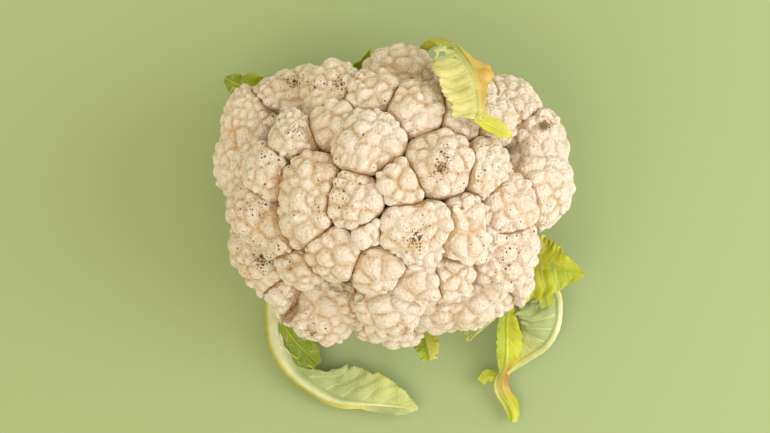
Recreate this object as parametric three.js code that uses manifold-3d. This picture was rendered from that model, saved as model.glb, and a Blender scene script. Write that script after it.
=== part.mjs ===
// A whole cauliflower, trimmed for sale: a curd of florets that branch from one stem, a few limp
// inner leaves, and the cut bases of the outer leaves that were trimmed off.
// It stands on the cut face of its stem. Units are millimetres, +Z is up, and the origin is the
// centre of the cut face.
import * as THREE from "three";
import { mergeVertices } from "three/addons/utils/BufferGeometryUtils.js";
import Module from "manifold-3d";

const wasm = await Module();
wasm.setup();

// ---- Driving dimensions ----

// The curd's outside is close to half an ellipsoid that stands on the plane z = RIM_Z.
const CURD_HALF_WIDTH = 92;
const CURD_HALF_DEPTH = 74;
const CURD_RISE = 66;
const RIM_Z = 58;

// The floret stalks all point away from one place in the stem.
const HUB = new THREE.Vector3(0, 0, 24);
const STALK_RADIUS = 7;
const STALK_START = 14;

// A dome is this much wider than what its neighbours leave of it, and is flattened along its stalk
// by the press of its neighbours. Domes at the crown stand this share nearer the stem's axis.
const CROWDING = 1.4;
const FLATNESS = 0.78;
const CROWN_DRAW_IN = 0.06;

// Neighbouring pieces keep this clearance from the surface that parts them.
const HALF_GAP = 0.2;

const STEM_RADIUS = 22;
const STEM_FOOT_RADIUS = 20.5;
const STEM_SHOULDER_Z = 30;
const STEM_TOP_Z = 62;

const BLADE_THICKNESS = 1.2;
const LEAF_STATIONS_PER_POINT = 1.7;

// ---- Florets ----
// Each floret is one branch with one to four domes. A dome is [x, y, radius, lift]: the plan place
// and radius of what shows of it, and how far it stands above the curd's even surface where it
// isn't level with it.
const FLORETS = {
  floret_crown: [
    [5, -19, 12],
    [11, -28, 10.5],
    [20, -14, 10],
  ],
  floret_inner_1: [
    [-11, 24, 13.5, 1],
    [-16.5, 17, 11.5, 1],
  ],
  floret_inner_2: [[22, 13, 14]],
  floret_inner_3: [
    [33, -10, 10.5],
    [34.5, -25.5, 11],
  ],
  floret_inner_4: [[11, -45.5, 11.5, -2]],
  floret_inner_5: [[-8.5, -36.5, 12]],
  floret_inner_6: [[-28.5, -28, 13]],
  floret_inner_7: [[-20.5, -5, 13]],
  floret_inner_8: [[3, 3.5, 11.5]],
  floret_inner_9: [[-13, -20, 10.5]],
  floret_middle_1: [[-29.5, 32, 11.5, -5]],
  floret_middle_2: [[12, 38.5, 13]],
  floret_middle_3: [
    [33, 50, 14],
    [29, 36, 12],
  ],
  floret_middle_4: [[46.5, 37, 12.5]],
  floret_middle_5: [[43, 10, 12.5, -2]],
  floret_middle_6: [[55.5, -7.5, 14, -6]],
  floret_middle_7: [[-46, -36, 10.5, -3]],
  floret_middle_8: [
    [-39.5, 1, 14],
    [-41, -13, 13.5],
  ],
  floret_middle_9: [[-48.5, 27, 11.5, 2]],
  floret_outer_1: [
    [-60, 45, 12],
    [-46, 48.5, 14],
    [-30.5, 49.5, 13],
  ],
  floret_outer_2: [
    [3, 57, 15.5],
    [-11, 47, 12],
  ],
  floret_outer_3: [[57, 41, 15]],
  floret_outer_4: [
    [69.5, 24.5, 17],
    [71, 3.5, 17],
  ],
  floret_outer_5: [
    [54.5, -31.5, 16],
    [53, -46.5, 15.5],
  ],
  floret_outer_6: [
    [40.5, -50.5, 16.5],
    [25.5, -54, 15.5],
    [28, -41.5, 11, -3],
  ],
  floret_outer_7: [[-2, -56.5, 14.5, 6]],
  floret_outer_8: [
    [3, -68, 11.5, -10],
    [-9.5, -66.5, 10, -10],
  ],
  floret_outer_9: [
    [-29.5, -54, 15],
    [-34.5, -64, 12, -2],
    [-43, -60, 12.5, -3],
  ],
  floret_outer_10: [[-51, -52, 12.5]],
  floret_outer_11: [
    [-66, -30, 15.5],
    [-60, -41, 11],
  ],
  floret_outer_12: [
    [-68, -10.5, 13.5],
    [-55, -23, 10.5, -2],
  ],
  floret_outer_13: [
    [-71, 38, 14.5],
    [-74.5, 16, 15.5],
    [-64.5, 36, 12],
  ],
  floret_outer_14: [[-62, 8.5, 12, 2]],
};

// ---- Solids ----

// A closed three.js geometry as a manifold solid.
function solidOf(geometry) {
  const bare = geometry.clone();
  bare.deleteAttribute("normal");
  bare.deleteAttribute("uv");
  const merged = mergeVertices(bare, 1e-3);
  return new wasm.Manifold(
    new wasm.Mesh({
      numProp: 3,
      vertProperties: new Float32Array(merged.attributes.position.array),
      triVerts: new Uint32Array(merged.index.array),
    }),
  );
}

// A manifold solid as a three.js geometry.
function geometryOf(solid) {
  const mesh = solid.getMesh();
  const geometry = new THREE.BufferGeometry();
  geometry.setAttribute("position", new THREE.BufferAttribute(mesh.vertProperties, 3));
  geometry.setIndex(new THREE.BufferAttribute(mesh.triVerts, 1));
  geometry.computeVertexNormals();
  return geometry;
}

// The largest of a solid's separate bodies: it leaves out the crumbs of a cut, and fills a space
// that joined pieces have closed off.
function largestBody(solid) {
  return solid.decompose().reduce((best, body) => (body.volume() > best.volume() ? body : best));
}

function lathe(profile, segments) {
  const points = profile.map(([radius, height]) => new THREE.Vector2(radius, height));
  return new THREE.LatheGeometry(points, segments);
}

// ---- Floret domes ----

// A dome's centre lies inside the curd's ellipsoid by the dome's own height.
function domeOf(name, [x, y, shownRadius, lift = 0]) {
  const radius = shownRadius * CROWDING;
  const rise = radius * FLATNESS;
  const across = x / (CURD_HALF_WIDTH - rise);
  const along = y / (CURD_HALF_DEPTH - rise);
  const height = Math.sqrt(Math.max(0, 1 - across ** 2 - along ** 2));
  const drawIn = 1 - CROWN_DRAW_IN * height;
  const z = RIM_Z + (CURD_RISE - rise) * height + lift;
  return { name, radius, rise, centre: new THREE.Vector3(x * drawIn, y * drawIn, z) };
}

// A round-headed club: a stalk from the hub that widens like a funnel into a dome.
function club({ centre, radius, rise }, grow = 0) {
  const arm = centre.clone().sub(HUB);
  const reach = arm.length();
  const stalk = Math.min(STALK_RADIUS, radius * 0.6) + grow;
  const profile = [
    [0, STALK_START],
    [stalk, STALK_START],
    [stalk * 1.2, reach - 2 * radius],
  ];
  const flareAngle = -0.45;
  const arcSteps = 5;
  for (let i = 0; i < arcSteps; i++) {
    const angle = flareAngle + ((Math.PI / 2 - flareAngle) * i) / arcSteps;
    profile.push([(radius + grow) * Math.cos(angle), reach + (rise + grow) * Math.sin(angle)]);
  }
  profile.push([0, reach + rise + grow]);
  const geometry = lathe(profile, radius > 17 ? 14 : 12);
  const turn = new THREE.Quaternion().setFromUnitVectors(
    new THREE.Vector3(0, 1, 0),
    arm.normalize(),
  );
  geometry.applyQuaternion(turn);
  geometry.translate(HUB.x, HUB.y, HUB.z);
  return solidOf(geometry);
}

// The normal of the plane through the hub that parts two domes where their spheres would meet,
// pointing to the first of them.
function partingNormal(a, b) {
  const weighted = ({ centre, radius }) => {
    const arm = centre.clone().sub(HUB);
    const spread = Math.asin(Math.min(0.95, radius / arm.length()));
    return arm.normalize().divideScalar(Math.cos(spread));
  };
  return weighted(a).sub(weighted(b)).normalize();
}

const domes = Object.entries(FLORETS).flatMap(([name, rows]) =>
  rows.map((row) => domeOf(name, row)),
);

// One dome with its stalk, cut back from the domes of all other florets.
function partedClub(dome) {
  let solid = club(dome);
  for (const other of domes) {
    if (other.name === dome.name) continue;
    const normal = partingNormal(dome, other);
    solid = solid.trimByPlane(normal.toArray(), normal.dot(HUB) + HALF_GAP);
  }
  return solid;
}

// ---- Stem ----

const stemProfile = (grow = 0) => [
  [0, -grow],
  [STEM_FOOT_RADIUS + grow, -grow],
  [STEM_RADIUS + grow, 8],
  [STEM_RADIUS + grow, STEM_SHOULDER_Z],
  [STEM_RADIUS * 0.72 + grow, STEM_SHOULDER_Z + 14],
  [STEM_RADIUS * 0.42 + grow, STEM_TOP_Z - 6],
  [0, STEM_TOP_Z + grow],
];

// A lathe turns about Y, so the stem is stood up to turn about Z.
const stemGeometry = (grow) => lathe(stemProfile(grow), 28).rotateX(Math.PI / 2);

// ---- Leaves ----
// A leaf is lofted along its midrib. Every list is spaced evenly from the stem to the tip:
// rib: points of the midrib; face: which way the blade's upper side looks; left and right: the
// blade's widths; thick: the midrib's thickness; curl: how tightly the blade rolls up, in degrees
// per 10 mm, where a plus sign lifts the margins.
const UP = [0, 0, 1];
const LEAVES = {
  leaf_front_left: {
    rib: [
      [-13, -20, 17], [-36, -33, 16], [-56, -45, 15], [-66.5, -59, 13], [-66, -71, 11.5],
      [-60.5, -84.5, 10], [-50, -98.3, 8.5], [-37, -107.5, 7.5], [-21, -112, 7], [-5, -113.5, 7],
      [12, -115, 7],
    ],
    face: [UP, UP, [3, 0, 10], [3, 0, 10], [3, 1, 10], [3, 2, 10], [2, 3, 10], UP, UP, UP, UP],
    left: [4, 4, 4, 6, 22, 15, 9, 16, 19, 17, 5],
    right: [4, 4, 4, 3, 3, 3, 3, 3, 3, 4, 4],
    thick: [7, 7, 7, 7, 6.5, 6, 5.5, 5, 3.5, 2.5, 1.6],
    curl: [0, 0, 0, 2, 4, 3, 2, 2, 2, 2, 0],
  },
  leaf_front_right: {
    rib: [
      [18, -17, 16], [40, -30, 15], [64, -41, 14], [82, -47, 13.5], [88.5, -58, 13],
      [88, -69, 12], [81, -81, 10], [68, -90, 8], [59, -96.5, 7], [57.5, -105, 6],
      [62.5, -113, 5], [63, -122, 5],
    ],
    face: [UP, UP, UP, UP, [-3, 0, 10], [-4, 1, 10], [-3, 3, 10], [-2, 2, 10], UP, UP, UP, UP],
    left: [4, 4, 4, 3, 3, 3, 3, 4, 5, 4, 4, 3],
    right: [4, 4, 4, 5, 16, 27, 22, 16, 9, 5, 4, 3],
    thick: [7, 7, 7, 6, 5.5, 5, 4.5, 4, 3.5, 3, 2.5, 2],
    curl: [0, 0, 0, 2, 3, 3, 3, 4, 8, 10, 10, 8],
  },
  leaf_right: {
    rib: [[20, -9, 24], [46, -21, 23], [67, -33, 27], [81, -38, 32], [98, -42, 35]],
    face: [UP, UP, UP, [-2, 1, 10], [-2, 1, 10]],
    left: [4, 5, 12, 11, 2],
    right: [4, 5, 21, 18, 2],
    thick: [6, 6, 5, 3.5, 1.6],
    curl: [0, 0, 2, 3, 4],
  },
  leaf_back: {
    rib: [
      [6, 21, 17], [11, 47, 21], [14, 71, 42], [21, 77.5, 65], [29, 73.5, 79], [35, 65, 89],
      [38.5, 56.5, 98], [40.5, 47, 105.5], [41, 38.5, 110.5], [41, 31, 114],
    ],
    face: [
      UP, [0, 3, 10], [0, 9, 4], [1, 9, 4], [3, 8, 6], [3, 6, 8], [3, 5, 9], [2, 4, 9], [1, 3, 10],
      [0, 2, 10],
    ],
    left: [3, 3, 2.5, 2.5, 3, 8, 6, 4, 4, 14],
    right: [3, 3, 2.5, 3, 12, 19, 19, 16, 14, 11],
    thick: [6, 6, 5, 5, 5, 4.5, 3.5, 3, 2.5, 1.6],
    curl: [0, 0, 0, 0, -4, -4, -4, -3, -2, -1],
  },
  leaf_back_left: {
    rib: [[-17, 15, 24], [-38, 29, 21], [-58, 42, 24], [-72, 50, 32], [-84, 57, 40]],
    face: [UP, UP, [2, -2, 10], [2, -2, 10], [2, -2, 10]],
    left: [4, 4, 8, 11, 4],
    right: [4, 4, 8, 10, 4],
    thick: [6, 6, 5, 3.5, 1.6],
    curl: [0, 0, 2, 3, 4],
  },
  leaf_back_small: {
    rib: [[-5, 22, 24], [-10, 42, 25], [-14, 59, 36], [-15, 67, 46], [-12, 73, 54]],
    face: [UP, UP, [0, -2, 10], [0, -5, 10], [0, -8, 10]],
    left: [3, 3, 5, 6, 1.5],
    right: [3, 3, 4, 5, 1.5],
    thick: [5, 5, 4, 3, 1.6],
    curl: [0, 0, 2, 3, 4],
  },
  leaf_front: {
    rib: [[4, -22, 17], [8, -44, 17], [13, -65, 20], [16.5, -78, 24], [18, -87, 27]],
    face: [UP, UP, [0, 2, 10], [0, 2, 10], [0, 2, 10]],
    left: [3, 4, 6, 7, 4],
    right: [3, 4, 6, 7, 4],
    thick: [6, 6, 4.5, 3, 1.6],
    curl: [0, 2, 4, 6, 6],
  },
  leaf_front_under: {
    rib: [[14, -18, 25], [27, -36, 22], [42, -54, 26], [50, -63, 33]],
    face: [UP, UP, [-2, 3, 10], [-2, 3, 10]],
    left: [4, 5, 11, 13],
    right: [4, 6, 17, 18],
    thick: [6, 6, 4.5, 2.6],
    curl: [0, 2, 3, 4],
  },
};

// The outer leaves were cut off close to the stem: how far round the stem each base stands, in
// degrees, and how high it starts.
const LEAF_BASES = [
  { turn: 8, z: 10 },
  { turn: 46, z: 9 },
  { turn: 161, z: 10 },
  { turn: 199, z: 9 },
];

// Evenly spaced values along the leaf, read at share s of its length.
function along(values, s) {
  const place = s * (values.length - 1);
  const i = Math.min(values.length - 2, Math.floor(place));
  return THREE.MathUtils.lerp(values[i], values[i + 1], place - i);
}

// A smooth curve through a list of points.
const smooth = (points) => new THREE.CatmullRomCurve3(points.map((p) => new THREE.Vector3(...p)));

function leaf({ rib, face, left, right, thick, curl }) {
  const midrib = smooth(rib);
  const facing = smooth(face);
  const upper = [];
  const lower = [];
  const stations = Math.round(rib.length * LEAF_STATIONS_PER_POINT);
  for (let i = 0; i < stations; i++) {
    const s = i / (stations - 1);
    const centre = midrib.getPoint(s);
    const ahead = midrib.getTangent(s);
    const side = ahead.clone().cross(facing.getPoint(s)).normalize();
    const up = side.clone().cross(ahead).normalize();
    const ribHalf = Math.min(along(thick, s) * 0.65, along(left, s), along(right, s));
    const reaches = [
      -along(left, s),
      -(along(left, s) + ribHalf) / 2,
      -ribHalf,
      0,
      ribHalf,
      (along(right, s) + ribHalf) / 2,
      along(right, s),
    ];
    const bend = THREE.MathUtils.degToRad(along(curl, s)) / 10 + 1e-6;
    const upperRow = [];
    const lowerRow = [];
    reaches.forEach((reach, k) => {
      const turn = reach * bend;
      const point = centre
        .clone()
        .addScaledVector(side, Math.sin(turn) / bend)
        .addScaledVector(up, (1 - Math.cos(turn)) / bend);
      const normal = up.clone().multiplyScalar(Math.cos(turn)).addScaledVector(side, -Math.sin(turn));
      const depth = k >= 2 && k <= 4 ? along(thick, s) * (k === 3 ? 1 : 0.7) : BLADE_THICKNESS;
      upperRow.push(point);
      lowerRow.push(point.clone().addScaledVector(normal, -depth));
    });
    upper.push(upperRow);
    lower.push(lowerRow);
  }
  return solidOf(shell(upper, lower));
}

// A closed shell between two grids of points.
function shell(upper, lower) {
  const rows = upper.length;
  const columns = upper[0].length;
  const points = [...upper.flat(), ...lower.flat()];
  const under = rows * columns;
  const faces = [];
  const quad = (a, b, c, d) => faces.push(a, b, c, a, c, d);
  for (let i = 0; i + 1 < rows; i++) {
    for (let k = 0; k + 1 < columns; k++) {
      const a = i * columns + k;
      quad(a, a + 1, a + columns + 1, a + columns);
      quad(under + a, under + a + columns, under + a + columns + 1, under + a + 1);
    }
    const first = i * columns;
    const last = first + columns - 1;
    quad(first, first + columns, under + first + columns, under + first);
    quad(last, under + last, under + last + columns, last + columns);
  }
  const end = (rows - 1) * columns;
  for (let k = 0; k + 1 < columns; k++) {
    quad(k, under + k, under + k + 1, k + 1);
    quad(end + k, end + k + 1, under + end + k + 1, under + end + k);
  }
  const geometry = new THREE.BufferGeometry().setFromPoints(points);
  geometry.setIndex(faces);
  return geometry;
}

// The thick foot of a trimmed leaf, which clasps the stem and ends at a flat cut.
function leafBase({ turn, z }) {
  const inner = STEM_RADIUS + 2 * HALF_GAP;
  const base = leaf({
    rib: [[inner, 0, z], [inner + 8, 0, z + 2], [inner + 15, 0, z + 6]],
    face: [[-2, 0, 10], [-4, 0, 10], [-6, 0, 10]],
    left: [7, 8, 8],
    right: [7, 8, 8],
    thick: [8, 8, 7.5],
    curl: [20, 16, 14],
  });
  return base.rotate(0, 0, turn);
}

// ---- Assembly ----

const curdWhite = () => new THREE.MeshStandardMaterial({ color: 0xf1e6d6, roughness: 0.75 });
const stemGreen = () => new THREE.MeshStandardMaterial({ color: 0xdfe6c0, roughness: 0.6 });
const leafGreen = () => new THREE.MeshStandardMaterial({ color: 0xa9bf3c, roughness: 0.5 });

const cauliflower = new THREE.Group();

function addPiece(name, solid, material) {
  const mesh = new THREE.Mesh(geometryOf(solid), material);
  mesh.name = name;
  cauliflower.add(mesh);
}

const stemSpace = solidOf(stemGeometry(2 * HALF_GAP));
addPiece("stem", solidOf(stemGeometry(0)), stemGreen());

for (const name of Object.keys(FLORETS)) {
  const branches = domes.filter((dome) => dome.name === name).map(partedClub);
  const joined = branches.reduce((whole, branch) => whole.add(branch));
  addPiece(name, largestBody(joined.subtract(stemSpace)), curdWhite());
}

const floretSpaces = domes.map((dome) => club(dome, 2 * HALF_GAP));

// What a sheet keeps once it is cut clear of the stem and the florets.
function clearOfCurd(sheet) {
  const free = floretSpaces.reduce((rest, space) => rest.subtract(space), sheet.subtract(stemSpace));
  return largestBody(free);
}

for (const [name, shape] of Object.entries(LEAVES)) {
  addPiece(name, clearOfCurd(leaf(shape)), leafGreen());
}

LEAF_BASES.forEach((place, i) => {
  addPiece(`leaf_base_${i + 1}`, clearOfCurd(leafBase(place)), stemGreen());
});

export default cauliflower;
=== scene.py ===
# A whole cauliflower seen from above: crowded cream florets with lobes and fine bumps, limp
# yellow-green inner leaves, the cut leaf bases and the stem, on a pale green table.
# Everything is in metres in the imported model's frame: +Z up, and the stem's cut face at z = 0.
import math

import bpy
import numpy as np
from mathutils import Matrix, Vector
from mathutils.bvhtree import BVHTree


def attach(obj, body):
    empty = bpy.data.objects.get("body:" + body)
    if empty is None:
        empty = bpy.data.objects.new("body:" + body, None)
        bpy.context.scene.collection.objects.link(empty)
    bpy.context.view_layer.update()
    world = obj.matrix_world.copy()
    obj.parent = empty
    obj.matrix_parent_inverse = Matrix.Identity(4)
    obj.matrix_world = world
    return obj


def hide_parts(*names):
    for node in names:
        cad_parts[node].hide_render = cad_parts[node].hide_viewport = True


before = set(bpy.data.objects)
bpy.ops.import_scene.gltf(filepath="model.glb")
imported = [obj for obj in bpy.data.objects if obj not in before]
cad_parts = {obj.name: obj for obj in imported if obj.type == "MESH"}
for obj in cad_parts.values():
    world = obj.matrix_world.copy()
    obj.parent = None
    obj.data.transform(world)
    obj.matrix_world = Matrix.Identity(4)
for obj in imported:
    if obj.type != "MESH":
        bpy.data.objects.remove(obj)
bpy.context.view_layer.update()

# ---- Named values ----

MM = 0.001
HUB = np.array([0.0, 0.0, 0.024])
VOXEL = 0.6 * MM
SEED = 11

# The curd's surface is crowded with lobes, and the lobes with bumps. Each has a mean spacing,
# and a relief from its top to the crease beside it, both for a lobe of middling size.
LOBE_SPACING = 8.8 * MM
LOBE_RELIEF = 1.95 * MM
LOBE_UNEVENNESS = 0.5 * MM
BUMP_SPACING = 3.2 * MM
BUMP_RELIEF = 0.2 * MM
# How much of a half ball each of these mounds is, from 0, flat, to 1.
MOUND_FULLNESS = 0.93

# A floret touches its neighbour where the gap is under the contact distance. There it swells by
# the filling, which closes the gap, and by a share of the lobes' relief. Rounds are steps of
# smoothing: the first takes off the CAD's facets, the second leads the lobes into the clefts.
CONTACT_DISTANCE = 0.9 * MM
FILLING = 0.3 * MM
CLEFT_SWELLING = 0.4
ROUNDING = 46
CLEFT_ROUNDS = 60

# Florets pressed together leave shallow clefts: beside a neighbour the surface is drawn outwards.
CLEFT_REACH = 6.0 * MM
CLEFT_FILL = 1.1 * MM

# Leaf sheets: the grid's step along the rib and its number of columns, how clear of the curd they
# lie, half the blade's thickness, how far it puffs up between side veins, and the side veins.
SHEET_STEP = 0.55 * MM
SHEET_COLUMNS = 69
CURD_CLEARANCE = 2.2 * MM
HALF_BLADE = 0.22 * MM
QUILTING = 0.8 * MM
VEIN_WIDTH = 0.75 * MM
VEIN_RELIEF = 0.30 * MM

STEM_RADIUS = 22 * MM
STEM_RIBS = 23
FLOOR_HALF = 3.0
FLOOR_DROP = 0.0002

EYE = np.array([-0.0045, -0.01225, 0.809])
VIEW_PLANE_Z = 0.060

# Brown and black marks on the curd, as seen from above: x, y and reach in millimetres, how dark the
# patch is, and how many specks it has. Both run from 0 to 1.
BLEMISHES = [
    (-50, 55, 5.5, 0.6, 0.9),
    (-41, 52, 4, 0.3, 0.8),
    (-28, 54, 6, 0.4, 0.9),
    (-49, 31, 5.5, 0.3, 0.9),
    (-60, 39, 5, 0.3, 0.7),
    (-66, -34, 8, 0.55, 0.95),
    (-52, -38, 3, 0.7, 0.6),
    (23.5, 12, 5.5, 0.75, 1.0),
    (26, 18, 4.5, 0.35, 0.9),
    (29, -8, 1.3, 0.8, 0.5),
    (34, -8, 1.5, 0.9, 0.5),
    (10, -23, 7, 0.1, 1.0),
    (-4, 47, 2.5, 0.3, 0.5),
    (9, 33, 2.2, 0.3, 0.6),
    (75, 33, 4.5, 0.85, 0.7),
    (-41, -69, 7, 0.45, 0.75),
    (5, -70, 4.5, 0.6, 0.6),
    (-72, -8, 9, 0.1, 0.6),
    (-35, -10, 8, 0.05, 0.6),
    (-28, 0, 9, 0.08, 0.7),
    (-62, 18, 10, 0.05, 0.5),
    (40, 10, 10, 0.0, 0.5),
    (58, -28, 12, 0.0, 0.4),
]
OCHRE_STAINS = [
    (9, -26, 3.2, 1.0),
    (7, -20.5, 2.2, 0.6),
    (13, -31, 1.8, 0.7),
    (-38, -62, 7, 0.5),
    (77, 36, 6, 0.5),
]

# ---- Leaf tables ----
# A leaf is made of one or more sheets. A sheet runs along a rib, and each of its rows is one place
# on the rib: x and y as seen from above on the view plane, and the true height z, then how far the
# blade reaches to the left and to the right of the rib, and half the rib's width, all in
# millimetres. Tints name the colours left of the rib, on it, and right of it, spaced evenly along.
# Thick is the rib's depth and veins the distance between side veins, both in millimetres, and
# vein_strength how plainly those show, from 0 to 1. Frill is how wavy the margin is, in
# millimetres, and curl how far the blade bends up, in degrees a centimetre. Slant is how far a side
# vein runs forward for each step away from the rib. Holes are places along (0 to 1) and across
# (-1 to 1) the sheet, with a reach in millimetres.

PLAIN_SHEET = {"slant": 0.9, "holes": []}

TINTS = {
    "cream": (0.74, 0.72, 0.44),
    "ivory": (0.84, 0.82, 0.56),
    "butter": (0.80, 0.73, 0.30),
    "straw": (0.74, 0.66, 0.20),
    "orange": (0.80, 0.54, 0.16),
    "rust": (0.52, 0.30, 0.06),
    "olive": (0.41, 0.41, 0.07),
    "lime": (0.62, 0.62, 0.035),
    "grass": (0.46, 0.53, 0.03),
    "fern": (0.22, 0.30, 0.015),
    "mist": (0.44, 0.50, 0.22),
    "pale": (0.62, 0.66, 0.26),
}

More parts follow.
